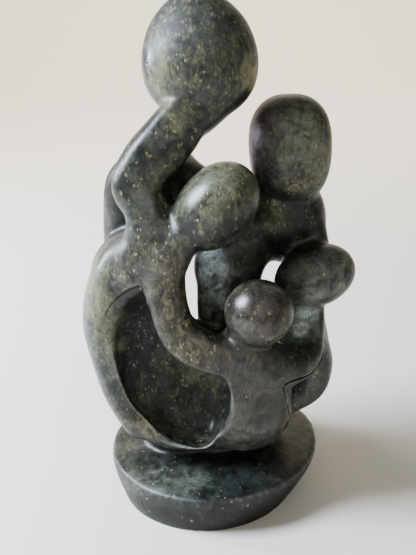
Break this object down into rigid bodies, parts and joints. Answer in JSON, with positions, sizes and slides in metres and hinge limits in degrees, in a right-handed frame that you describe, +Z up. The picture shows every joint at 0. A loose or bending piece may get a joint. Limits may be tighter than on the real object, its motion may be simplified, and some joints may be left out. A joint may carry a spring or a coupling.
{
  "type": "family group sculpture",
  "caption": "Stone figure group: a tall adult and a smaller one lean over smooth-headed children, all carved from the same block on a low round base.",
  "frame": {"origin": "centre of the round base's underside, as the round top projects on it", "axes": "+Z up along the standing height, -Y towards the side with the open hollow and the children, +X towards the smaller adult"},
  "size_m": [0.1207, 0.1001, 0.2273],
  "materials": {
    "stone": "satin"
  },
  "bodies": {
    "root": {"family_group": "stone"}
  },
  "joints": []
}
